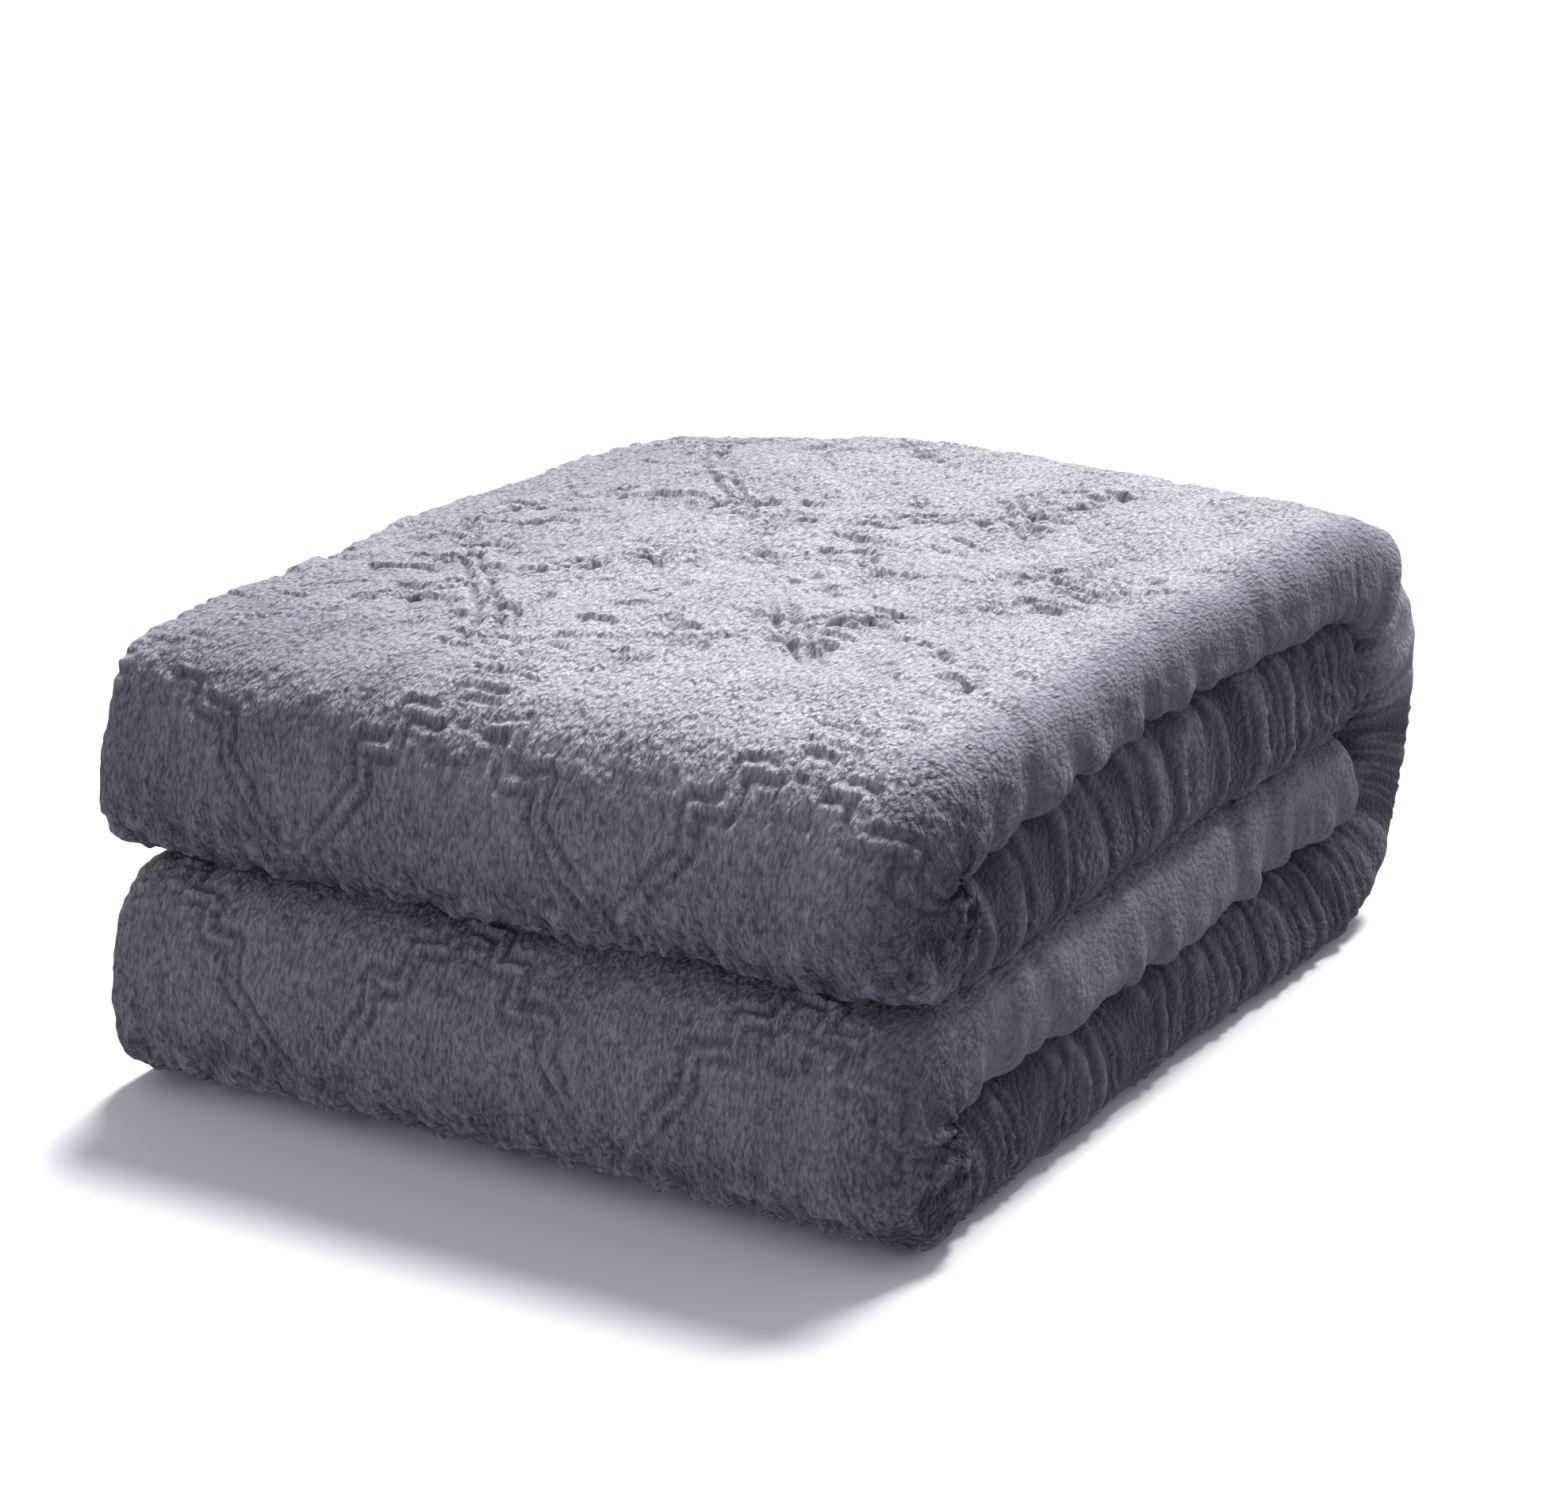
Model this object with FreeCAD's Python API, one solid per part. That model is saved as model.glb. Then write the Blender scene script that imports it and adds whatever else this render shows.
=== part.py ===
import FreeCAD, Part
import os

# A plush throw, folded in quarters across its width into a long strip, which is then folded
# in four along its length and lies as a neat stack.
#
# Frame: X runs across the stack, with the strip's closed rolled side at +X and its open side at -X.
# The two rounded front folds face -Y and the outer fold that wraps the back faces +Y. Z is up.
# The origin is on the surface that the throw lies on, under the middle of the stack.
#
# Along the strip: upper flap, upper front fold, top layer, back fold, bottom layer, lower front
# fold, lower flap. The cloth's right side, called the face, is outermost in every fold.

Vector = FreeCAD.Vector

# Driving dimensions, in mm
folded_width = 372.0  # across the stack
folded_depth = 496.0  # from the front folds to the back fold
ply_thickness = 11.9  # one ply of the cloth, with its pile as it lies in the stack
ply_clearance = 0.3  # between the two halves of one strip layer
layer_clearance = 0.4  # between one strip layer and the next
flap_end_gap = 30.0  # from the inner end of each flap to the back fold
hinge_clearance = 0.5  # between the back fold and the layers that it carries
hem_set_back = 5.0  # how far the outer hem lies inside the open side

# Each strip layer is four plies: the outer half of the cloth folded round the inner half.
layer_thickness = 4 * ply_thickness + 2 * ply_clearance
layer_pitch = layer_thickness + layer_clearance
stack_height = 4 * layer_thickness + 3 * layer_clearance

# The back fold turns round as a half circle of this radius when the stack is closed. A quarter
# turn of cloth keeps its length when it straightens about a pole at (1 - pi/4) of its radius
# from both of the planes that it joins.
back_radius = stack_height / 2
pole_offset = 0.2146 * back_radius
back_thickness = 2 * pole_offset

# Places along Y
front_radius = layer_thickness + layer_clearance / 2
front_axis = front_radius - folded_depth / 2
back_inner_face = folded_depth / 2 - back_thickness
layer_length = back_inner_face - hinge_clearance - front_axis
flap_length = back_inner_face - flap_end_gap - front_axis

# Heights of the creases inside the two front folds
lower_crease = layer_thickness + layer_clearance / 2
upper_crease = lower_crease + 2 * layer_pitch


def line(start, end):
    return Part.makeLine(Vector(start[0], 0, start[1]), Vector(end[0], 0, end[1]))


def half_circle(centre, radius, side):
    """A half circle that bulges to side (+1 or -1) along X."""
    x, z = centre
    low = Vector(x, 0, z - radius)
    middle = Vector(x + side * radius, 0, z)
    high = Vector(x, 0, z + radius)
    return Part.Arc(low, middle, high).toShape()


def face(edges):
    return Part.Face(Part.Wire(Part.sortEdges(edges)[0]))


def outer_half_section(thickness):
    """The cloth's outer half in the XZ plane, face side up: its upper ply, the roll at +X, its
    lower ply, and the turn at -X that leads to the inner half."""
    ply = (thickness - 2 * ply_clearance) / 4
    turn = ply + ply_clearance / 2
    left = -folded_width / 2
    hem = left + hem_set_back
    turn_end = left + turn
    roll_start = folded_width / 2 - thickness / 2
    return face(
        [
            half_circle((turn_end, turn), turn, -1),
            line((turn_end, 0), (roll_start, 0)),
            half_circle((roll_start, thickness / 2), thickness / 2, 1),
            line((roll_start, thickness), (hem, thickness)),
            line((hem, thickness), (hem, thickness - ply)),
            line((hem, thickness - ply), (roll_start, thickness - ply)),
            half_circle((roll_start, thickness / 2), thickness / 2 - ply, 1),
            line((roll_start, ply), (turn_end, ply)),
            line((turn_end, ply), (turn_end, 2 * turn)),
        ]
    )


def inner_half_section(thickness):
    """The cloth's inner half: two plies pressed together, with their own turn at +X."""
    ply = (thickness - 2 * ply_clearance) / 4
    left = ply + 1.5 * ply_clearance - folded_width / 2
    roll_start = folded_width / 2 - thickness / 2
    low = ply + ply_clearance
    high = low + 2 * ply
    return face(
        [
            line((left, low), (roll_start, low)),
            half_circle((roll_start, thickness / 2), ply, 1),
            line((roll_start, high), (left, high)),
            line((left, high), (left, low)),
        ]
    )


SECTIONS = {"outer_half": outer_half_section, "inner_half": inner_half_section}


def face_up_layer(section, length, base):
    """A straight stretch of strip from the front axis backwards, its face side up."""
    layer = section(layer_thickness).extrude(Vector(0, length, 0))
    layer.translate(Vector(0, front_axis, base))
    return layer


def face_down_layer(section, length, base):
    """The same stretch turned over, its face side down."""
    layer = section(layer_thickness).extrude(Vector(0, length, 0))
    layer.rotate(Vector(0, 0, 0), Vector(1, 0, 0), 180)
    layer.translate(Vector(0, front_axis + length, base + layer_thickness))
    return layer


def front_fold(section, crease):
    """Half a turn about the crease, from the layer above it to the layer below it."""
    start = section(layer_thickness)
    start.translate(Vector(0, front_axis, crease + layer_clearance / 2))
    return start.revolve(Vector(0, front_axis, crease), Vector(1, 0, 0), 180)


def back_outline():
    """A slab the height of the stack, rounded about both poles, so that it turns in its place."""
    centre = folded_depth / 2 - pole_offset
    slab = Part.makeBox(folded_width, back_thickness, stack_height - 2 * pole_offset)
    slab.translate(Vector(-folded_width / 2, centre - pole_offset, pole_offset))
    for height in (pole_offset, stack_height - pole_offset):
        end = Part.makeCylinder(
            pole_offset, folded_width, Vector(-folded_width / 2, centre, height), Vector(1, 0, 0)
        )
        slab = slab.fuse(end)
    return slab.removeSplitter()


def back_fold(section):
    """The stretch of strip that wraps the back, its face side to +Y."""
    wrap = section(back_thickness).extrude(Vector(0, stack_height, 0))
    wrap.rotate(Vector(0, 0, 0), Vector(1, 0, 0), -90)
    wrap.translate(Vector(0, back_inner_face, stack_height))
    return wrap.common(back_outline()).Solids[0]


def save(name, solid):
    solid.exportStep(os.path.join("parts", name + ".step"))


def main():
    os.makedirs("parts", exist_ok=True)
    for half, section in SECTIONS.items():
        save("bottom_layer_" + half, face_down_layer(section, layer_length, 0))
        save("lower_front_fold_" + half, front_fold(section, lower_crease))
        save("lower_flap_" + half, face_up_layer(section, flap_length, layer_pitch))
        save("upper_flap_" + half, face_down_layer(section, flap_length, 2 * layer_pitch))
        save("upper_front_fold_" + half, front_fold(section, upper_crease))
        save("top_layer_" + half, face_up_layer(section, layer_length, 3 * layer_pitch))
        save("back_fold_" + half, back_fold(section))


main()
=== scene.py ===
import math

import bpy
import numpy as np
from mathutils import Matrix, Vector


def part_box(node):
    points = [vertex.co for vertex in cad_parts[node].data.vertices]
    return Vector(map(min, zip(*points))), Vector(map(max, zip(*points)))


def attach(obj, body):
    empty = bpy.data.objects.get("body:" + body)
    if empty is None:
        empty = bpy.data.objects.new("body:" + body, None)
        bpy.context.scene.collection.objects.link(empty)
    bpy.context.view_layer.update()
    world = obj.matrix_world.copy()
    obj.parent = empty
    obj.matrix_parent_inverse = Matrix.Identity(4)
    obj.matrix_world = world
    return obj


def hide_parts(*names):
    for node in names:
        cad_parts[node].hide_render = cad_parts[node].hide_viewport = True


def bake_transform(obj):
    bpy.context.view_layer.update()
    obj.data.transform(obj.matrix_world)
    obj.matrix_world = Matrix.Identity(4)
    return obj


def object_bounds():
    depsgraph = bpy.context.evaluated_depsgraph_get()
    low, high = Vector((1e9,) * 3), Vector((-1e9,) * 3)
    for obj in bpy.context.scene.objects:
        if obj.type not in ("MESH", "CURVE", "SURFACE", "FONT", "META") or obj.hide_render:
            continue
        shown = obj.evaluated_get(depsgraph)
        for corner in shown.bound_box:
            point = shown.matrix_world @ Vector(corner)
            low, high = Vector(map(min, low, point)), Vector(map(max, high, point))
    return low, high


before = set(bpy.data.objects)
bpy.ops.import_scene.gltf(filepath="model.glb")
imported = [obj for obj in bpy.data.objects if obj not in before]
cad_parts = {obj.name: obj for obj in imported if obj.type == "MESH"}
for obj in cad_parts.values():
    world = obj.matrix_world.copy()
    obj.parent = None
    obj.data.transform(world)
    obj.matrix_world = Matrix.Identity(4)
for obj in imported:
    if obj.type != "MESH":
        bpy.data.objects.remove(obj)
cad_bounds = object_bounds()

# A plush throw: one cloth, folded in quarters across its width into a strip, and the strip folded
# in four. Every surface below is that one cloth, worked out on a grid of (row along the strip,
# point round the folded cross-section) and cut into pieces at the folds. Metres throughout.

# ---------------------------------------------------------------- sizes, from the frame

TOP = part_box("top_layer_outer_half")
UPPER_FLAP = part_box("upper_flap_outer_half")
STACK_WIDTH = cad_bounds[1][0] - cad_bounds[0][0]
STACK_DEPTH = cad_bounds[1][1] - cad_bounds[0][1]
STACK_HEIGHT = cad_bounds[1][2] - cad_bounds[0][2]
LAYER = TOP[1][2] - TOP[0][2]
PITCH = TOP[0][2] - UPPER_FLAP[0][2]
FRONT_AXIS = TOP[0][1]
FLAP_END = UPPER_FLAP[1][1]
BACK_RADIUS = STACK_HEIGHT / 2
BACK_AXIS = STACK_DEPTH / 2 - BACK_RADIUS
LOWER_CREASE = (LAYER + PITCH) / 2
UPPER_CREASE = LOWER_CREASE + 2 * PITCH
PLY = LAYER / 4
SHEET = 0.92 * PLY  # the cloth's own thickness with its pile, a little less than one ply
CUT_WIDTH = 1.5
CUT_LENGTH = 2.0

# ---------------------------------------------------------------- small helpers


def smooth(value, low, high):
    """0 below low, 1 above high, and an S curve between them."""
    t = np.clip((value - low) / (high - low), 0.0, 1.0)
    return t * t * (3.0 - 2.0 * t)


def between(value, rise_from, rise_to, fall_from, fall_to):
    """1 from rise_to to fall_from and 0 outside, with an S curve at each end."""
    return smooth(value, rise_from, rise_to) * (1 - smooth(value, fall_from, fall_to))


def lattice_random(ix, iy, seed):
    """A repeatable number from 0 to 1 for every whole-numbered lattice point."""
    h = (ix * 374761393 + iy * 668265263 + seed * 974634777) & 0xFFFFFFFF
    h = ((h ^ (h >> 13)) * 1274126177) & 0xFFFFFFFF
    return ((h ^ (h >> 16)) & 0xFFFF) / 65535.0


def noise(x, y, seed=0):
    """Smooth noise from -1 to 1 with one bump per unit: lattice values joined by S curves."""
    x0 = np.floor(x)
    y0 = np.floor(y)
    fx = x - x0
    fy = y - y0
    fx = fx * fx * fx * (fx * (fx * 6 - 15) + 10)
    fy = fy * fy * fy * (fy * (fy * 6 - 15) + 10)
    ix = x0.astype(np.int64)
    iy = y0.astype(np.int64)
    a = lattice_random(ix, iy, seed)
    b = lattice_random(ix + 1, iy, seed)
    c = lattice_random(ix, iy + 1, seed)
    d = lattice_random(ix + 1, iy + 1, seed)
    return 2.0 * ((a + (b - a) * fx) * (1 - fy) + (c + (d - c) * fx) * fy) - 1.0


def ridged(x, y, seed=0):
    """Noise folded at zero, so that it makes thin crests: 1 on a crest, 0 between them."""
    return 1.0 - np.abs(noise(x, y, seed))


# ---------------------------------------------------------------- the folded cross-section

OUTER_HEM_SET_BACK = 0.005
INNER_HEM_SET_BACK = 0.011
ROLL_START = STACK_WIDTH / 2 - LAYER / 2
LEFT_TURN = PLY - STACK_WIDTH / 2
OUTER_HEM = OUTER_HEM_SET_BACK - STACK_WIDTH / 2
INNER_HEM = INNER_HEM_SET_BACK - STACK_WIDTH / 2


def section_line(distance):
    """The middle of the cloth across the folded strip, by distance from the outer hem: along the
    outer ply, round the roll, back to the left turn, in again, round the inner roll and back.
    Straight runs go with distance, and turns are half circles. Returns x, height above the
    strip's back, the face side's direction, and the distances at which the runs start."""
    runs = [
        ROLL_START - OUTER_HEM,
        math.pi * 1.5 * PLY,
        ROLL_START - LEFT_TURN,
        math.pi * 0.5 * PLY,
        ROLL_START - LEFT_TURN,
        math.pi * 0.5 * PLY,
        ROLL_START - INNER_HEM,
    ]
    starts = np.concatenate([[0.0], np.cumsum(runs)])
    run = np.clip(np.searchsorted(starts, distance, side="right") - 1, 0, 6)
    along = distance - starts[run]
    share = along / np.array(runs)[run]
    turn = math.pi * share
    middle = LAYER / 2
    on_run = [run == k for k in range(6)]
    x = np.select(
        on_run,
        [
            OUTER_HEM + along,
            ROLL_START + 1.5 * PLY * np.sin(turn),
            ROLL_START - along,
            LEFT_TURN - 0.5 * PLY * np.sin(turn),
            LEFT_TURN + along,
            ROLL_START + 0.5 * PLY * np.sin(turn),
        ],
        ROLL_START - along,
    )
    height = np.select(
        on_run,
        [
            3.5 * PLY,
            middle + 1.5 * PLY * np.cos(turn),
            0.5 * PLY,
            PLY - 0.5 * PLY * np.cos(turn),
            1.5 * PLY,
            middle - 0.5 * PLY * np.cos(turn),
        ],
        2.5 * PLY,
    )
    face_x = np.select(on_run[1::2], [np.sin(turn), -np.sin(turn), -np.sin(turn)], 0.0)
    face_up = np.select(on_run, [1.0, np.cos(turn), -1.0, -np.cos(turn), 1.0, np.cos(turn)], -1.0)
    return x, height, face_x, face_up, starts


def spaced(start, end, step):
    """Even steps from start to just before end, each as near to step as they can be."""
    return np.linspace(start, end, max(2, round((end - start) / step) + 1))[:-1]


def cross_section():
    """The closed outline of the folded cloth: its face side from hem to hem, a rounded edge, its
    back side on the way back, and the other rounded edge. Its steps are a little over 1 mm where
    the face shows, 2 to 6 mm at turns and hems, and about 15 mm inside."""
    starts = section_line(np.array([0.0]))[4]
    face = np.concatenate(
        [
            spaced(starts[0], starts[1], 0.00135),
            spaced(starts[1], starts[2], 0.00115),
            spaced(starts[2], starts[2] + 0.016, 0.002),
            spaced(starts[2] + 0.016, starts[3], 0.0055),
            spaced(starts[3], starts[4], 0.002),
            spaced(starts[4], starts[4] + 0.01, 0.003),
            spaced(starts[4] + 0.01, starts[5], 0.014),
            spaced(starts[5], starts[6], 0.004),
            spaced(starts[6], starts[7] - 0.01, 0.014),
            spaced(starts[7] - 0.01, starts[7], 0.003),
            [starts[7]],
        ]
    )
    back = np.concatenate(
        [
            spaced(starts[0], starts[0] + 0.01, 0.003),
            spaced(starts[0] + 0.01, starts[1], 0.016),
            spaced(starts[1], starts[2], 0.006),
            spaced(starts[2], starts[3], 0.016),
            spaced(starts[3], starts[4], 0.004),
            spaced(starts[4], starts[5], 0.016),
            spaced(starts[5], starts[6], 0.005),
            spaced(starts[6], starts[7] - 0.01, 0.016),
            spaced(starts[7] - 0.01, starts[7], 0.003),
            [starts[7]],
        ]
    )[::-1]
    edge = np.radians([30.0, 60.0, 90.0, 120.0, 150.0])
    on_edge = len(edge)
    pieces = []
    for distance, side, round_edge in (
        (face, np.ones(len(face)), np.zeros(len(face))),
        (np.full(on_edge, starts[7]), np.cos(edge), SHEET / 2 * edge),
        (back, -np.ones(len(back)), np.zeros(len(back))),
        (np.zeros(on_edge), -np.cos(edge), -SHEET / 2 * (math.pi - edge)),
    ):
        x, height, face_x, face_up, _ = section_line(distance)
        out = np.sqrt(1.0 - side**2)
        x = x + SHEET / 2 * (side * face_x) - SHEET / 2 * out
        height = height + SHEET / 2 * side * face_up
        pieces.append((x, height, distance, side, round_edge))
    x, height, distance, side, round_edge = (np.concatenate(p) for p in zip(*pieces))
    cut = CUT_WIDTH / starts[7]
    return x, height, distance * cut, side, round_edge, starts * cut


SECTION_X, SECTION_HEIGHT, ACROSS, SIDE, ROUND_EDGE, FOLD_LINES = cross_section()
ROLL_BEGINS = FOLD_LINES[1]  # across the flat cloth, where the visible roll starts and ends
ROLL_ENDS = FOLD_LINES[2]

# ---------------------------------------------------------------- rows along the strip

FLAP = FLAP_END - FRONT_AXIS
TOP_RUN = BACK_AXIS - FRONT_AXIS
FRONT_TURN = math.pi * (LAYER + (PITCH - LAYER) / 2)
BACK_TURN = math.pi * BACK_RADIUS
# How much shorter the middle of the strip is than its face, round half a turn.
MIDDLE_SHORTER = math.pi * LAYER / 2
# Each stretch: name, length along the face, rows, bodies that it follows.
STRETCHES = [
    ("upper_flap", FLAP, 170, ("upper_packet",)),
    ("upper_front_fold", FRONT_TURN, 125, ("upper_packet",)),
    ("top_layer_front", TOP_RUN / 2, 145, ("upper_packet",)),
    ("top_layer_back", TOP_RUN / 2, 140, ("upper_packet",)),
    ("back_fold_upper", BACK_TURN / 2, 110, ("upper_packet", "back_fold")),
    ("back_fold_lower", BACK_TURN / 2, 105, ("lower_packet", "back_fold")),
    ("bottom_layer", TOP_RUN, 172, ("lower_packet",)),
    ("lower_front_fold", FRONT_TURN, 125, ("lower_packet",)),
    ("lower_flap", FLAP, 170, ("lower_packet",)),
]


def row_positions():
    """Distance along the face of every row, and the first row of every stretch."""
    rows = []
    first = []
    start = 0.0
    count = 0
    for _, length, number, _ in STRETCHES:
        first.append(count)
        rows.append(np.linspace(start, start + length, number + 1)[:-1])
        start += length
        count += number
    rows.append(np.array([start]))
    first.append(count)
    return np.concatenate(rows), first


ALONG, FIRST_ROW = row_positions()
STARTS = np.concatenate([[0.0], np.cumsum([s[1] for s in STRETCHES])])
# Where each run begins along the face: the two top and the two back stretches are one run each.
RUNS = STARTS[[0, 1, 2, 4, 6, 7, 8, 9]]
UPPER_FOLD, TOP_LAYER, BACK_FOLD, BOTTOM_LAYER, LOWER_FOLD, LOWER_FLAP, STRIP_LENGTH = RUNS[1:]

# ---------------------------------------------------------------- the shape of the stack


def ripple(place, length, seed):
    """Noise along one direction only, with a bump for every length."""
    return noise(place / length, np.zeros_like(place), seed)


def overhang(along):
    """1 where the strip's rolled side stands out over the layer below it, as the top layer, the
    lower flap and both front folds do, and 0 where it is drawn in."""
    top = between(along, UPPER_FOLD - 0.012, UPPER_FOLD - 0.003, BACK_FOLD + 0.10, BACK_FOLD + 0.17)
    flap = smooth(along, LOWER_FOLD - 0.012, LOWER_FOLD - 0.003)
    return np.clip(top + flap, 0.0, 1.0)


def lightness_of_nap_and_shade(across, along):
    """1 where the cloth looks pale, 0 where it looks dark, partly by the pile's lean and partly as
    painted shade: the top layer and the lower flap face up to the light and are pale, the upper
    flap and the bottom layer face down and are dark, and the pile turns over gradually round each
    fold, later towards the hem side. The rolled side is painted darker than the flat plies, as
    shade, the top's hem side takes painted shade, and the flat plies inside the stack are nearer to
    each other."""
    flat = 1 - smooth(across, ROLL_BEGINS - 0.035, ROLL_BEGINS - 0.010)
    late = 0.06 * (1 - smooth(across, 0.03, 0.30))
    early = 0.009 + 0.10 * flat
    # Partly nap, partly painted shade: each front fold turns from dark where it faces down to pale
    # where it faces up.
    upper = 0.22 * smooth(along, UPPER_FOLD - early, UPPER_FOLD - 0.004)
    upper = upper + 0.36 * smooth(along, UPPER_FOLD, UPPER_FOLD + 0.09)
    upper = upper + 0.42 * smooth(along, UPPER_FOLD + 0.08 + 0.3 * late, TOP_LAYER + 0.03 + late)
    upper = upper * (1 - smooth(along, BACK_FOLD + 0.11, BACK_FOLD + 0.18))
    # Painted shade towards the hem side, most on the top, where the cloth droops away from the
    # light.
    hem_side = 1 - smooth(across, 0.0, 0.24)
    hem_shade = 0.10 + 0.22 * smooth(along, UPPER_FOLD + 0.08, TOP_LAYER + 0.02)
    upper = upper * (1 - hem_shade * hem_side)
    lower = 0.08 * smooth(along, LOWER_FOLD - early, LOWER_FOLD - 0.004)
    lower = lower + 0.48 * smooth(along, LOWER_FOLD, LOWER_FOLD + 0.09)
    lower = lower + 0.44 * smooth(along, LOWER_FOLD + 0.09, LOWER_FLAP + 0.02)
    lower = lower * (1 - 0.25 * flat * smooth(along, LOWER_FLAP, LOWER_FLAP + 0.10))
    upper_inside = 1 - smooth(along, UPPER_FOLD - 0.10, UPPER_FOLD)
    bottom_inside = between(along, BOTTOM_LAYER, BOTTOM_LAYER + 0.10, LOWER_FOLD - 0.10, LOWER_FOLD)
    inside = 0.26 * flat * (upper_inside + bottom_inside)
    # Painted shade on the rolled side, which faces away from the light, less on the back fold's
    # wrap.
    on_side = smooth(across, ROLL_BEGINS - 0.010, ROLL_BEGINS + 0.026)
    on_wrap = between(along, BACK_FOLD + 0.03, BACK_FOLD + 0.08, BOTTOM_LAYER, BOTTOM_LAYER + 0.02)
    upper = upper * (1 - (0.80 - 0.36 * on_wrap) * on_side)
    return inside + upper + lower * (1 - 0.70 * on_side)


def round_out(angle, power):
    """How far a rounded-square outline of that power lies out at an angle, where a circle is 1."""
    return (np.abs(np.sin(angle)) ** power + np.abs(np.cos(angle)) ** power) ** (-1.0 / power)


def front_lip(along):
    """1 on the lower half of each front fold, where its end stands out, as a lip, beside the layer
    that it turns into."""
    return sum(
        between(along, fold - 0.005, fold + 0.002, fold + 0.03, fold + 0.08)
        for fold in (UPPER_FOLD, LOWER_FOLD)
    )


def square_off_roll(x, height, along):
    """Turns the roll's half circle into a rounded square: beyond the start of the roll, a point's
    offset from the roll's middle is scaled by round_out of its angle, with one power for the
    upper quarter and another for the lower, and the top layer's upper quarter is rounder."""
    across = x - ROLL_START
    up = height - LAYER / 2
    angle = np.arctan2(np.maximum(across, 0.0), up)
    on_top = between(along, UPPER_FOLD + 0.05, TOP_LAYER, BACK_FOLD + 0.10, BACK_FOLD + 0.17)
    upper_power = 3.3 - 0.8 * on_top
    lower_power = 3.2 + 1.0 * overhang(along)
    power = np.where(angle < math.pi / 2, upper_power, lower_power)
    scale = np.where(across > 0, round_out(angle, power), 1.0)
    return np.where(across > 0, ROLL_START + across * scale, x), LAYER / 2 + up * scale


def straight_runs(along):
    """1 on the four straight layers of the strip and 0 round its folds."""
    upper_flap = 1 - smooth(along, UPPER_FOLD - 0.004, UPPER_FOLD)
    top = between(along, TOP_LAYER, TOP_LAYER + 0.01, BACK_FOLD - 0.02, BACK_FOLD + 0.02)
    bottom = between(along, BOTTOM_LAYER - 0.02, BOTTOM_LAYER, LOWER_FOLD - 0.004, LOWER_FOLD)
    lower_flap = smooth(along, LOWER_FLAP, LOWER_FLAP + 0.01)
    return upper_flap + top + bottom + lower_flap


def rise_of_back(along):
    """How far the back side of each layer is lifted at the roll, in metres: the pale layers rise
    and the dark ones sink, more between the upper two than between the lower two."""
    upper_flap = 1 - smooth(along, UPPER_FOLD - 0.09, UPPER_FOLD - 0.01)
    top = between(along, TOP_LAYER, TOP_LAYER + 0.08, BACK_FOLD - 0.03, BACK_FOLD + 0.05)
    bottom = between(along, BOTTOM_LAYER, BOTTOM_LAYER + 0.05, LOWER_FOLD - 0.08, LOWER_FOLD - 0.01)
    lower_flap = smooth(along, LOWER_FLAP + 0.01, LOWER_FLAP + 0.08)
    return 0.010 * (top - upper_flap) + 0.004 * (lower_flap - bottom)


def shape_roll(x, height, along):
    """Pushes the strip's rolled side out of round. A pale layer overhangs with a scalloped lower
    edge, and a dark layer is drawn in under it and swells out again at its far side: x moves out
    and height down by noise along the strip, more towards the layer's back side."""
    pale = overhang(along)
    x, height = square_off_roll(x, height, along)
    edge = smooth(x, ROLL_START - 0.03, ROLL_START + 0.004)
    height = height + rise_of_back(along) * edge * np.clip(1 - height / LAYER, 0.0, 1.0)
    back_side = 1 - smooth(height, 0.15 * LAYER, 0.85 * LAYER)
    scallop = ripple(along, 0.016, 5) + 0.5 * ripple(along, 0.007, 6)
    sweep = ripple(along, 0.075, 7)
    out = pale * (0.0020 + 0.0020 * scallop) - (1 - pale) * (0.0045 + 0.002 * sweep)
    x = x + edge * (back_side * out + 0.0045 * front_lip(along))
    droop = straight_runs(along) * (0.0004 + 0.0014 * scallop + 0.0018 * sweep)
    height = height - (2 * pale - 1) * edge * back_side * droop
    return x, height


def end_taper(along):
    """How much of its thickness the strip keeps towards its two inner ends: a rounded quarter
    outline over the last 14 mm, and never less than 0.3."""
    from_end = np.minimum(along, STRIP_LENGTH - along)
    t = np.clip(1 - from_end / 0.014, 0.0, 1.0)
    return np.maximum((1 - t**2.2) ** (1 / 2.2), 0.3)


def lay_strip(along, height):
    """The strip's path seen from its side: distance along the face and height above its back give
    y and z. Flaps and layers are straight. Front and back folds are half turns, whose radius at
    each angle is scaled by round_out, with a little belly low on the front folds."""
    height = LAYER / 2 + (height - LAYER / 2) * end_taper(along)
    u = [along - start for start in RUNS[:-1]]
    gap = (PITCH - LAYER) / 2

    def front(turn, crease):
        power = np.where(turn < math.pi / 2, 2.35, 2.6)
        radius = (height + gap) * round_out(turn, power)
        belly = 0.004 * np.sin(turn) ** 2 * np.cos(turn) * height / LAYER
        return FRONT_AXIS - radius * np.sin(turn) - belly, crease - radius * np.cos(turn)

    def back(turn):
        power = np.where(turn < math.pi / 2, 2.7, 2.15)
        radius = (height + BACK_RADIUS - LAYER) * round_out(turn, power)
        return BACK_AXIS + radius * np.sin(turn), BACK_RADIUS + radius * np.cos(turn)

    upper_front = front(math.pi * u[1] / FRONT_TURN, UPPER_CREASE)
    back_turn = back(math.pi * u[3] / BACK_TURN)
    lower_front = front(math.pi * u[5] / FRONT_TURN, LOWER_CREASE)
    which = [along < RUNS[k + 1] for k in range(6)]
    y = np.select(
        which,
        [
            FLAP_END - u[0],
            upper_front[0],
            FRONT_AXIS + u[2],
            back_turn[0],
            BACK_AXIS - u[4],
            lower_front[0],
        ],
        FRONT_AXIS + u[6],
    )
    z = np.select(
        which,
        [
            2 * PITCH + LAYER - height,
            upper_front[1],
            3 * PITCH + height,
            back_turn[1],
            LAYER - height,
            lower_front[1],
        ],
        PITCH + height,
    )
    return y, z


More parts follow.
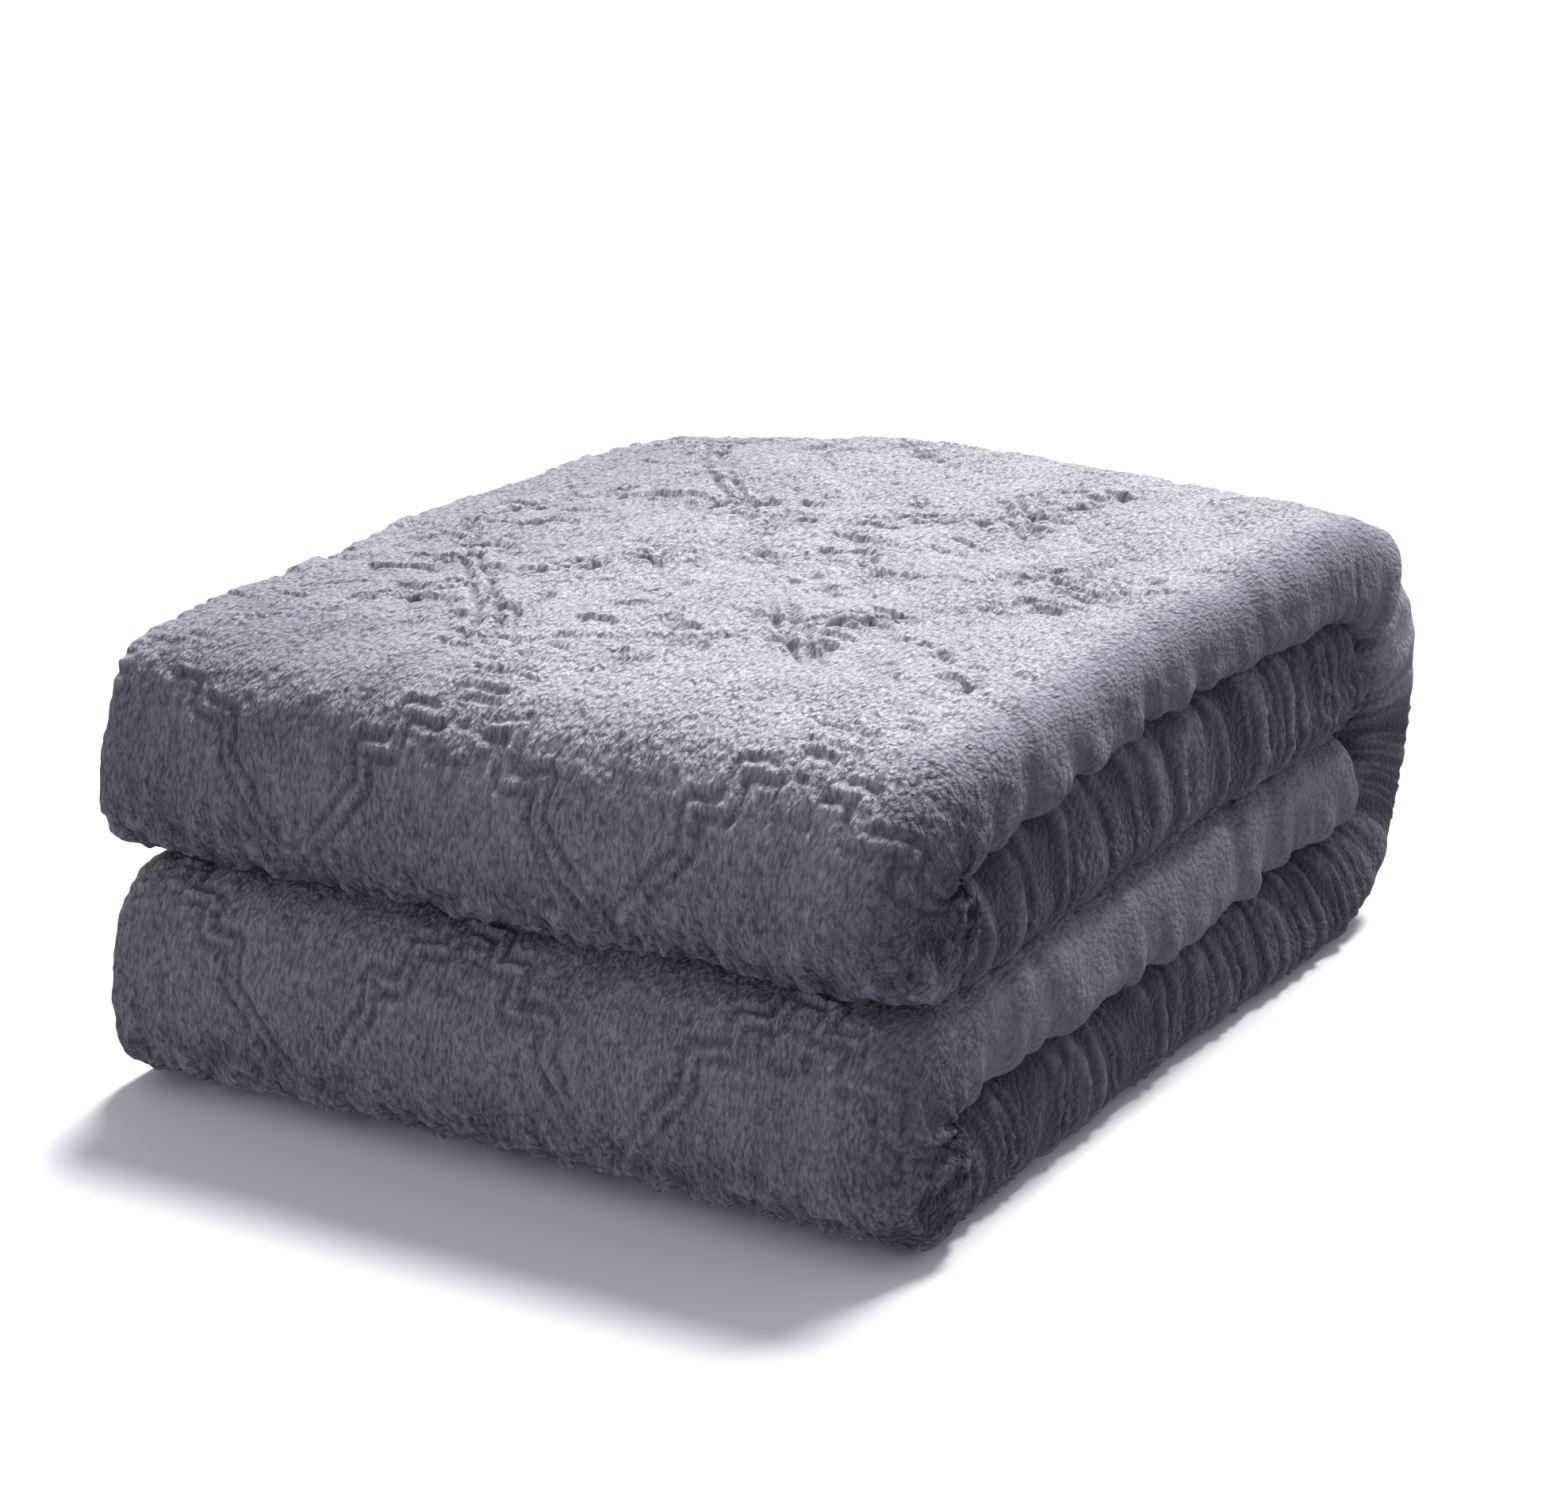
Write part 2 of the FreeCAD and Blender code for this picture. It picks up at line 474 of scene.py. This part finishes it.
def settle(x, y, z):
    """The whole stack's softness: crowned on top, drooping at its left and back, gently wavy, and
    flat where it rests, because the lift grows from nothing at the floor."""
    rise = np.clip(z / STACK_HEIGHT, 0.0, 1.0)
    a = 2 * x / STACK_WIDTH
    b = 2 * y / STACK_DEPTH
    crown = 0.011 * (1 - np.minimum(np.abs(a), 1) ** 2.4) * (1 - np.minimum(np.abs(b), 1) ** 2.6)
    left_droop = 0.010 * smooth(-a, 0.45, 1.05) * smooth(b, -0.6, 1.0)
    back_droop = 0.004 * smooth(b, 0.55, 1.05)
    long_wave = 0.0035 * noise(x / 0.11 + 3.1, y / 0.12 + 1.7, 11)
    short_wave = 0.0018 * noise(x / 0.05, y / 0.055, 12)
    lift = crown - left_droop - back_droop + (long_wave + short_wave)
    side_wave = 0.003 * noise(y / 0.13, z / 0.06, 13) * smooth(np.abs(a), 0.5, 1.0)
    front_wave = 0.003 * noise(x / 0.12, z / 0.07, 14) * smooth(np.abs(b), 0.5, 1.0)
    return x + side_wave, y + front_wave, z + rise * lift


# ---------------------------------------------------------------- the pile's relief

# Sizes of the marks on the pile, across and along the cloth, and the depths of the deepest two.
RUBBED_PATCH = (0.050, 0.055)
RUBBED_SPOT = (0.021, 0.024)
SWELL = (0.024, 0.028)
CLUMP = (0.0058, 0.0080)
TUFT = (0.0026, 0.0034)
STREAK = (0.0026, 0.009)
DASH = (0.021, 0.0068)
SPOT = (0.011, 0.012)
GROOVE_DEPTH = 0.0021
DENT_DEPTH = 0.0027

# The carved net repeats every NET_WIDTH across the cloth and NET_LENGTH along it, six times
# from one front fold to the other. A quarter of one cell is drawn, and mirrored both ways: a
# straight diagonal from a crossing, then three steps up to a flat peak, and a small key in it.
NET_WIDTH = 0.155
NET_LENGTH = (LOWER_FOLD - UPPER_FOLD) / 6
CROSSING = (0.094, UPPER_FOLD + 0.31 * FRONT_TURN)
STEPPED_LINE = [
    (0.0, 0.0),
    (0.034, 0.040),
    (0.034, 0.055),
    (0.051, 0.055),
    (0.051, 0.071),
    (0.067, 0.071),
    (0.067, 0.086),
    (0.0775, 0.086),
]
KEY_LINE = [(0.0775, 0.070), (0.069, 0.070), (0.069, 0.056), (0.0775, 0.056)]


def marks(across, along, size, seed):
    """Noise with bumps of that size across and along the cloth."""
    return noise(across / size[0], along / size[1], seed)


def path_distance(u, v, corners):
    """Distance from every point to a path of straight lines, with the nearest place on each line
    found as the point's share of the way along it, held between 0 and 1."""
    nearest = np.full(u.shape, 1.0)
    for (u0, v0), (u1, v1) in zip(corners, corners[1:]):
        du = u1 - u0
        dv = v1 - v0
        share = np.clip(((u - u0) * du + (v - v0) * dv) / (du**2 + dv**2), 0.0, 1.0)
        nearest = np.minimum(nearest, np.hypot(u - u0 - share * du, v - v0 - share * dv))
    return nearest


def carved_net(across, along):
    """How far each point lies in a groove of the carved net, and how far on the raised welts
    between and beside the pair of grooves, both bell curves of the distance from the drawn line,
    which noise makes waver."""
    shift = 0.0022 * noise(across / 0.022, along / 0.022, 21)
    slide = 0.0022 * noise(across / 0.020, along / 0.020, 32)
    cell_across = (across + shift - CROSSING[0]) / NET_WIDTH
    cell_along = (along + slide - CROSSING[1]) / NET_LENGTH
    u = np.abs(cell_across - np.round(cell_across)) * NET_WIDTH
    v = np.abs(cell_along - np.round(cell_along)) * NET_LENGTH
    off = path_distance(u, v, STEPPED_LINE)
    groove = np.exp(-(((off - 0.0037) / 0.0018) ** 2))
    welt = np.exp(-((off / 0.0018) ** 2)) + 0.6 * np.exp(-(((off - 0.0070) / 0.0020) ** 2))
    key = np.exp(-((path_distance(u, v, KEY_LINE) / 0.0015) ** 2))
    return np.maximum(groove, 0.8 * key), welt


def front_fold(along):
    """1 on the two front folds, fading out over the layers that they turn into."""
    upper = between(along, UPPER_FOLD - 0.01, UPPER_FOLD, TOP_LAYER, TOP_LAYER + 0.05)
    lower = between(along, LOWER_FOLD - 0.01, LOWER_FOLD, LOWER_FLAP, LOWER_FLAP + 0.02)
    return upper + lower


def rolled_side(across, along):
    """1 on the strip's rolled side, and a quarter of that on the front folds."""
    rising = smooth(across, ROLL_BEGINS - 0.012, ROLL_BEGINS + 0.012)
    falling = 1 - smooth(across, ROLL_ENDS - 0.004, ROLL_ENDS + 0.012)
    return rising * falling * (1 - 0.75 * front_fold(along))


def worn_net(across, along, rubbed):
    """Grooves and welts of the carved net as wear leaves them: rubbed away in patches, low on the
    front folds and on the rolled side, and the grooves at the hem and on the top's front bend."""
    groove, welt = carved_net(across, along)
    patchy = 0.15 + 0.85 * smooth(rubbed + 0.45 * front_fold(along), -0.6, 0.4)
    kept = patchy * (1 - 0.60 * front_lip(along)) * (1 - rolled_side(across, along))
    on_bend = np.exp(-(((along - TOP_LAYER + 0.012) / 0.030) ** 2))
    sharp = smooth(across, 0.002, 0.035) * (1 - 0.40 * on_bend)
    return groove * kept * sharp, welt * kept


def mitre(across, along):
    """The crease at the roll's top back corner, where the top layer tucks under the back fold:
    the pile swells up to a wavering line and steps down past it. Gives how deep it lies, in
    metres, and 1 in the crease itself."""
    past = along - BACK_FOLD - 0.22 * BACK_TURN + 0.006 * ripple(across, 0.03, 33)
    tucked = smooth(past, -0.0018, 0.0018)
    step = 0.0085 * tucked * np.exp(-((past / 0.022) ** 2))
    swell = 0.0024 * (1 - tucked) * np.exp(-((past / 0.02) ** 2))
    return step - swell, tucked * np.exp(-((past / 0.008) ** 2))


def roll_ridges(across, along):
    """Crests that run round the rolled side, bowed and wavering, as folded noise to a power:
    crisp, broad and fine ones from 0 to 1, and a soft undulation from -1 to 1."""
    bow = 0.016 * np.sin(math.pi * (across - ROLL_BEGINS) / (ROLL_ENDS - ROLL_BEGINS))
    bent = along + bow + 0.004 * noise(across / 0.02, along / 0.05, 27)
    crisp = ridged(bent / 0.0074, across / 0.042, 28) ** 4
    broad = ridged(bent / 0.019, across / 0.06, 30) ** 2
    fine = ridged(bent / 0.0042, across / 0.030, 36) ** 3
    return crisp, broad, fine, noise(bent / 0.014, across / 0.045, 29)


def relief(across, along, side):
    """Height of the pile over the cloth, in metres, how much painted shade it takes in a groove, a
    dent, the mitre's crease or between the crests of a dark roll, how much painted highlight it
    takes on a crest or a welt, with random fur tone on the front folds, and how ruffled it is. The
    flat plies have clumps, tufts, swells, the net and dents. The roll has ridges where it is dark
    and a soft undulation where it is pale. A blend of the two follows the rolled side."""
    pale = overhang(along)
    front = front_fold(along)
    under = front_lip(along)
    roll = rolled_side(across, along)
    up_the_roll = smooth(across, ROLL_BEGINS, ROLL_BEGINS + 0.024)
    wrap = between(along, BACK_FOLD, BACK_FOLD + 0.03, BOTTOM_LAYER - 0.03, BOTTOM_LAYER)
    hidden = 1 - np.clip(side * (1 - smooth(across, ROLL_ENDS, ROLL_ENDS + 0.02)), 0, 1)
    rubbed = marks(across, along, RUBBED_PATCH, 22) + 0.7 * marks(across, along, RUBBED_SPOT, 23)
    grooves_and_painted_shade, raised = worn_net(across, along, rubbed)
    clumps = marks(across, along, CLUMP, 24)
    tufts = marks(across, along, TUFT, 25)
    streaks = marks(across, along, STREAK, 31)
    dashes = smooth(marks(across, along, DASH, 34), 0.34, 0.72)
    spots = smooth(marks(across, along, SPOT, 35), 0.48, 0.82)
    dents = (dashes + spots) * smooth(rubbed, -0.5, 0.3) * (1 - front)
    furry = front * (0.08 * clumps + 0.16 * streaks) + under * (0.30 * clumps + 0.34 * streaks)
    flat_pile = (0.0006 + 0.0013 * under) * clumps + 0.0006 * tufts
    flat_pile = flat_pile + 0.0014 * marks(across, along, SWELL, 26)
    flat_pile = flat_pile + (0.0006 * front + 0.0012 * under) * streaks
    flat_pile = flat_pile + (0.0007 + 0.0006 * front) * raised
    flat_pile = flat_pile - GROOVE_DEPTH * grooves_and_painted_shade - DENT_DEPTH * dents
    crisp, broad, fine, soft = roll_ridges(across, along)
    mitre_depth, crease = mitre(across, along)
    dark_roll = 0.0032 * crisp + 0.0018 * broad + 0.0007 * fine - 0.0016
    dark_roll = (1 - 0.65 * wrap) * up_the_roll * dark_roll
    roll_pile = (1 - pale) * dark_roll + pale * 0.0021 * soft
    roll_pile = roll_pile + 0.0002 * clumps + 0.0002 * tufts - mitre_depth
    height = (1 - roll) * flat_pile + roll * roll_pile
    height = height * (1 - hidden) - hidden * 0.0003
    # Painted highlight on the dark roll's crests.
    crest = roll * (1 - pale) * (0.65 * crisp + 0.2 * broad + 0.15 * fine)
    # Painted shade between the dark roll's crests, and below also in the grooves, dents and the
    # mitre's crease.
    between_crests = 0.9 * roll * (1 - pale) * (1 - 1.3 * crisp)
    painted_shade_in_recesses = np.clip(grooves_and_painted_shade + 0.28 * dents + between_crests + roll * crease, 0.0, 1.0)
    painted_shade_in_recesses = painted_shade_in_recesses * (1 - hidden) * (1 - 0.45 * front)
    velvet = 0.22 * (1 - roll) + (0.30 + 0.18 * pale) * roll * up_the_roll + 0.10 * roll
    # More ruffled pile comes out darker: the lower half of each front fold is ruffled more, for its
    # fur and as painted shade.
    ruffled = 1.0 - 0.12 * front + 0.30 * under - 0.12 * hidden - velvet * (1 - front)
    # The crests and welts give painted highlights, the front folds' fur random tone.
    return height, painted_shade_in_recesses, crest + 0.3 * raised + furry, ruffled


# ---------------------------------------------------------------- the cloth's grid


def surface_normals(points, outward_at):
    """Unit normals of the grid, closed round the section and open along the strip: the cross
    product of its two directions, turned so that the given point's normal faces the given way."""
    round_section = np.roll(points, -1, axis=1) - np.roll(points, 1, axis=1)
    down_strip = np.gradient(points, axis=0)
    normals = np.cross(down_strip, round_section)
    normals /= np.maximum(np.linalg.norm(normals, axis=2, keepdims=True), 1e-12)
    row, column, direction = outward_at
    if normals[row, column] @ direction < 0:
        normals = -normals
    return normals


def cloth_grid():
    """Places, normals, cloth coordinates, painted shade of grooves and recesses, nap with painted
    light and shade, and ruffling of every point of the cloth.
    The folded section is laid along the strip, settled, and moved along its normals by the
    pile's relief, but not below the floor."""
    along = np.repeat(ALONG[:, None], len(SECTION_X), axis=1)
    across = np.repeat(ACROSS[None, :], len(ALONG), axis=0)
    section_x = np.broadcast_to(SECTION_X, along.shape)
    section_height = np.broadcast_to(SECTION_HEIGHT, along.shape)
    x, height = shape_roll(section_x, section_height, along)
    y, z = lay_strip(along, height)
    points = np.stack(settle(x, y, z), axis=2)
    top = (FIRST_ROW[3], MIDDLE_OF_TOP, np.array([0.0, 0.0, 1.0]))
    normals = surface_normals(points, top)
    lift, grooves_and_painted_shade, crest, ruffled = relief(across, along, SIDE)
    points = points + lift[..., None] * normals
    points[..., 2] = np.maximum(points[..., 2], 0.0)
    # Crests and welts are painted lighter, as highlights, on top of the nap and its painted light
    # and shade.
    nap_and_painted_light = lightness_of_nap_and_shade(across, along) + 0.42 * crest
    return points, surface_normals(points, top), across, along, grooves_and_painted_shade, nap_and_painted_light, ruffled


MIDDLE_OF_TOP = np.count_nonzero((SIDE == 1) & (ACROSS < ROLL_BEGINS)) // 2
POINTS, NORMALS, CLOTH_ACROSS, CLOTH_ALONG, GROOVES_AND_PAINTED_SHADE, NAP_AND_PAINTED_LIGHT, RUFFLED = cloth_grid()

# ---------------------------------------------------------------- meshes


def cloth_piece(name, first, last, material):
    """One stretch of the cloth: its part of the grid, closed by a face at each end."""
    rows = last - first + 1
    columns = POINTS.shape[1]
    corner = np.arange((rows - 1) * columns).reshape(rows - 1, columns)
    right = np.roll(corner, -1, axis=1)
    quads = np.stack([corner, right, right + columns, corner + columns], axis=2).reshape(-1, 4)
    start_cap = np.arange(columns)[::-1]
    end_cap = np.arange(columns) + (rows - 1) * columns
    corners = np.concatenate([quads.ravel(), start_cap, end_cap])
    sizes = np.concatenate([np.full(len(quads), 4), [columns, columns]])
    part = slice(first, last + 1)
    mesh = bpy.data.meshes.new(name)
    mesh.vertices.add(rows * columns)
    mesh.vertices.foreach_set("co", POINTS[part].astype(np.float32).ravel())
    mesh.loops.add(len(corners))
    mesh.loops.foreach_set("vertex_index", corners.astype(np.int32))
    mesh.polygons.add(len(sizes))
    mesh.polygons.foreach_set("loop_start", (np.cumsum(sizes) - sizes).astype(np.int32))
    mesh.update(calc_edges=True)
    outward = NORMALS[part].reshape(-1, 3)
    face_normals = np.empty(len(sizes) * 3, np.float32)
    mesh.polygons.foreach_get("normal", face_normals)
    facing = np.einsum("ij,ij->i", face_normals.reshape(-1, 3)[: len(quads)], outward[quads[:, 0]])
    if np.median(facing) < 0:
        mesh.flip_normals()
    uv = np.stack([CLOTH_ACROSS[part] + ROUND_EDGE, CLOTH_ALONG[part]], axis=2).reshape(-1, 2)
    layer = mesh.uv_layers.new(name="cloth")
    order = np.empty(len(corners), np.int32)
    mesh.loops.foreach_get("vertex_index", order)
    layer.data.foreach_set("uv", uv[order].astype(np.float32).ravel())
    for attribute, values in (("grooves_and_painted_shade", GROOVES_AND_PAINTED_SHADE), ("nap_and_painted_light", NAP_AND_PAINTED_LIGHT), ("ruffled", RUFFLED)):
        field = mesh.attributes.new(attribute, "FLOAT", "POINT")
        field.data.foreach_set("value", values[part].astype(np.float32).ravel())
    mesh.polygons.foreach_set("use_smooth", np.ones(len(sizes), bool))
    mesh.normals_split_custom_set_from_vertices(outward.tolist())
    mesh.materials.append(material)
    piece = bpy.data.objects.new(name, mesh)
    bpy.context.scene.collection.objects.link(piece)
    return piece


# ---------------------------------------------------------------- shader building


class Socket:
    """A shader socket that takes +, - and * as Math nodes."""

    def __init__(self, tree, output):
        self.tree = tree
        self.output = output

    def maths(self, operation, a, b):
        return self.tree.node("ShaderNodeMath", {"operation": operation}, {0: a, 1: b})

    def __add__(self, other):
        return self.maths("ADD", self, other)

    __radd__ = __add__

    def __mul__(self, other):
        return self.maths("MULTIPLY", self, other)

    __rmul__ = __mul__

    def __sub__(self, other):
        return self.maths("SUBTRACT", self, other)

    def __rsub__(self, other):
        return self.maths("SUBTRACT", other, self)


class Tree:
    """A new material's node tree."""

    def __init__(self, name):
        self.material = bpy.data.materials.new(name)
        self.material.use_nodes = True
        self.nodes = self.material.node_tree.nodes
        self.links = self.material.node_tree.links
        self.nodes.clear()

    def node(self, kind, settings=None, inputs=None, output=0):
        """Adds a node: its settings first, then the values or links of its sockets."""
        made = self.nodes.new(kind)
        for key, value in (settings or {}).items():
            setattr(made, key, value)
        for key, value in (inputs or {}).items():
            if isinstance(value, Socket):
                self.links.new(value.output, made.inputs[key])
            else:
                made.inputs[key].default_value = value
        return Socket(self, made.outputs[output]) if made.outputs else None

    def mix(self, share, a, b):
        """A colour between a and b."""
        return self.node("ShaderNodeMix", {"data_type": "RGBA"}, {0: share, 6: a, 7: b}, output=2)


# Marks to the metre, across and along the cloth, of the patterns in the pile's material.
WARP_MARKS = (150.0, 110.0, 1.0)
TUFT_MARKS = (560.0, 300.0, 1.0)
FIBRE_MARKS = (700.0, 210.0, 1.0)
BRUSHED_MARKS = (34.0, 26.0, 1.0)
WARP_REACH = (0.003, 0.004, 0.0)
BUMP_DISTANCE = 0.0026
# The deepest colour, used for painted shade, is this share of the dark one, and each kind of
# place mixes in this much of it as painted shade.
DEEP_OF_DARK = 0.35
SHADE_OF_VELVET = 0.50
SHADE_BETWEEN_TUFTS = 0.55
SHADE_BETWEEN_FIBRES = 0.60
SHADE_IN_GROOVES = 0.40


def plush_pile(name, pale_color, middle_color, dark_color):
    """Short dense pile, pale or dark by the nap attribute, which holds both its lean and painted
    shade and highlights, with painted shade in the carved grooves and other recesses and between
    the tufts and fibres, and fine fibres along the strip."""
    tree = Tree(name)
    cloth = tree.node("ShaderNodeUVMap", {"uv_map": "cloth"})

    def on_cloth(attribute):
        return tree.node("ShaderNodeAttribute", {"attribute_name": attribute}, output=2)

    def pattern(scale, detail, rough, output=0):
        place = tree.node("ShaderNodeMapping", {}, {"Vector": cloth, "Scale": scale})
        return tree.node(
            "ShaderNodeTexNoise",
            {"noise_dimensions": "2D"},
            {"Vector": place, "Scale": 1.0, "Detail": detail, "Roughness": rough},
            output=output,
        )

    def ranged(value, low, high):
        limits = {"Value": value, "From Min": low, "From Max": high}
        return tree.node("ShaderNodeMapRange", {}, limits)

    nap_and_painted_light = on_cloth("nap_and_painted_light")
    grooves_and_painted_shade = on_cloth("grooves_and_painted_shade")
    ruffled = on_cloth("ruffled")
    warp = pattern(WARP_MARKS, 1.0, 0.5, output=1)
    bent = tree.node(
        "ShaderNodeVectorMath",
        {"operation": "MULTIPLY_ADD"},
        {0: warp, 1: WARP_REACH, 2: cloth},
    )
    place = tree.node("ShaderNodeMapping", {}, {"Vector": bent, "Scale": TUFT_MARKS})
    tufts = tree.node(
        "ShaderNodeTexVoronoi",
        {"voronoi_dimensions": "2D", "feature": "SMOOTH_F1"},
        {"Vector": place, "Scale": 1.0, "Smoothness": 0.35},
    )
    fibres = pattern(FIBRE_MARKS, 3.0, 0.75)
    brushed = pattern(BRUSHED_MARKS, 2.0, 0.6)
    lean = ranged(brushed, 0.35, 0.65)
    ruffled = (0.80 + 0.20 * lean) * ruffled
    tone = tree.mix(ranged(nap_and_painted_light, 0.0, 0.5), dark_color, middle_color)
    tone = tree.mix(ranged(nap_and_painted_light, 0.50, 0.90), tone, pale_color)
    tone = tree.mix(0.10 * lean, tone, dark_color)
    deep = tuple(DEEP_OF_DARK * c for c in dark_color[:3]) + (1.0,)
    tone = tree.mix(SHADE_OF_VELVET * (1.0 - ruffled), tone, deep)
    tone = tree.mix(SHADE_BETWEEN_TUFTS * ruffled * ranged(tufts, 0.36, 0.80), tone, deep)
    between_fibres = 1.0 - ranged(fibres, 0.38, 0.58)
    tone = tree.mix(SHADE_BETWEEN_FIBRES * ruffled * between_fibres, tone, deep)
    # Painted shade in the grooves, dents, the mitre's crease and between the dark roll's crests.
    tone = tree.mix(SHADE_IN_GROOVES * grooves_and_painted_shade, tone, deep)
    height = ruffled * (1.2 * fibres - 0.9 * tufts)
    bump_inputs = {"Strength": 1.0, "Distance": BUMP_DISTANCE, "Height": height}
    bump = tree.node("ShaderNodeBump", {}, bump_inputs)
    surface = tree.node(
        "ShaderNodeBsdfPrincipled",
        {},
        {
            "Base Color": tone,
            "Roughness": 0.95,
            "Specular IOR Level": 0.1,
            "Sheen Weight": 0.2,
            "Sheen Roughness": 0.45,
            "Sheen Tint": (0.82, 0.82, 0.95, 1.0),
            "Normal": bump,
        },
    )
    tree.node("ShaderNodeOutputMaterial", {}, {"Surface": surface})
    return tree.material


# ---------------------------------------------------------------- the throw


# Pale, middle and dark tones of the one pile, mixed by the nap attribute: partly the pile's lean
# and partly painted light and shade, pale where it faces up to the light, dark where it faces down
# or away.
PALE_PILE = (0.665, 0.648, 0.695, 1.0)
MIDDLE_PILE = (0.352, 0.330, 0.405, 1.0)
DARK_PILE = (0.062, 0.051, 0.077, 1.0)
# The stretch of CAD that each piece stands for. Two pieces may share one.
CAD_STRETCH = {
    "top_layer_front": "top_layer",
    "top_layer_back": "top_layer",
    "back_fold_upper": "back_fold",
    "back_fold_lower": "back_fold",
}
# How many half turns each piece goes round.
HALF_TURNS = {
    "upper_front_fold": 1.0,
    "lower_front_fold": 1.0,
    "back_fold_upper": 0.5,
    "back_fold_lower": 0.5,
}


def follow_bodies(piece, name, bodies):
    """Rides on its one body, or, for the back fold's two halves, has its place baked into its mesh.
    """
    outer_end = STACK_HEIGHT - LAYER if name == "back_fold_upper" else LAYER
    if len(bodies) == 1:
        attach(piece, bodies[0])
    else:
        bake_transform(piece)


def make_throw():
    """The nine pieces of the one cloth, each hiding the CAD stretch that it stands for. Each
    stretch's middle length is scaled to the cut cloth's, and the stretches' lengths add up to the
    cloth's."""
    plush = plush_pile("grey_lilac_plush", PALE_PILE, MIDDLE_PILE, DARK_PILE)
    to_cut = CUT_LENGTH / (STRIP_LENGTH - sum(HALF_TURNS.values()) * MIDDLE_SHORTER)
    replaced = set()
    for index, (name, length, _, bodies) in enumerate(STRETCHES):
        piece = cloth_piece(name, FIRST_ROW[index], FIRST_ROW[index + 1], plush)
        follow_bodies(piece, name, bodies)
        stretch = CAD_STRETCH.get(name, name)
        if stretch not in replaced:
            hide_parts(stretch + "_outer_half", stretch + "_inner_half")
            replaced.add(stretch)
        middle = length - HALF_TURNS.get(name, 0) * MIDDLE_SHORTER
        middle * to_cut


make_throw()

# ---------------------------------------------------------------- floor, light and camera


def make_floor():
    """A large pale square that the stack lies on. It throws no light back on to the cloth."""
    mesh = bpy.data.meshes.new("floor")
    reach = 6.0
    corners = [(-reach, -reach, 0), (reach, -reach, 0), (reach, reach, 0), (-reach, reach, 0)]
    mesh.from_pydata(corners, [], [(0, 1, 2, 3)])
    floor = bpy.data.objects.new("floor", mesh)
    bpy.context.scene.collection.objects.link(floor)
    tree = Tree("pale_floor")
    surface = tree.node(
        "ShaderNodeBsdfPrincipled",
        {},
        {"Base Color": (0.88, 0.88, 0.88, 1.0), "Roughness": 0.9},
    )
    tree.node("ShaderNodeOutputMaterial", {}, {"Surface": surface})
    mesh.materials.append(tree.material)
    floor.visible_diffuse = False


def aim(thing, target):
    """Turns a lamp or a camera to look at a place."""
    thing.rotation_euler = (Vector(target) - thing.location).to_track_quat("-Z", "Y").to_euler()


def make_lights():
    """A broad soft sun from behind and above, and a faintly blue sky all round for the fronts."""
    overhead = bpy.data.lights.new("overhead", "SUN")
    overhead.energy = 6.9
    overhead.angle = math.radians(25.0)
    lamp = bpy.data.objects.new("overhead", overhead)
    lamp.location = (-0.10, 1.15, 2.0)
    bpy.context.scene.collection.objects.link(lamp)
    aim(lamp, (0.0, 0.0, STACK_HEIGHT / 2))
    world = bpy.data.worlds.new("studio")
    world.use_nodes = True
    sky = world.node_tree.nodes["Background"]
    sky.inputs["Color"].default_value = (0.97, 0.96, 1.08, 1.0)
    sky.inputs["Strength"].default_value = 0.54
    bpy.context.scene.world = world


def make_camera():
    """A long lens from the front right, a little above the top of the stack."""
    azimuth = math.radians(30.5)
    elevation = math.radians(18.7)
    distance = 5.065 * STACK_WIDTH
    target = Vector((-0.027 * STACK_WIDTH, 0.0, 0.294 * STACK_WIDTH))
    camera = bpy.data.cameras.new("camera")
    camera.lens = 100.0
    camera.sensor_width = 36.0
    view = bpy.data.objects.new("camera", camera)
    toward = Vector(
        (
            math.sin(azimuth) * math.cos(elevation),
            -math.cos(azimuth) * math.cos(elevation),
            math.sin(elevation),
        )
    )
    view.location = target + distance * toward
    bpy.context.scene.collection.objects.link(view)
    aim(view, target)
    bpy.context.scene.camera = view


make_floor()
make_lights()
make_camera()
bpy.context.scene.view_settings.view_transform = "Standard"
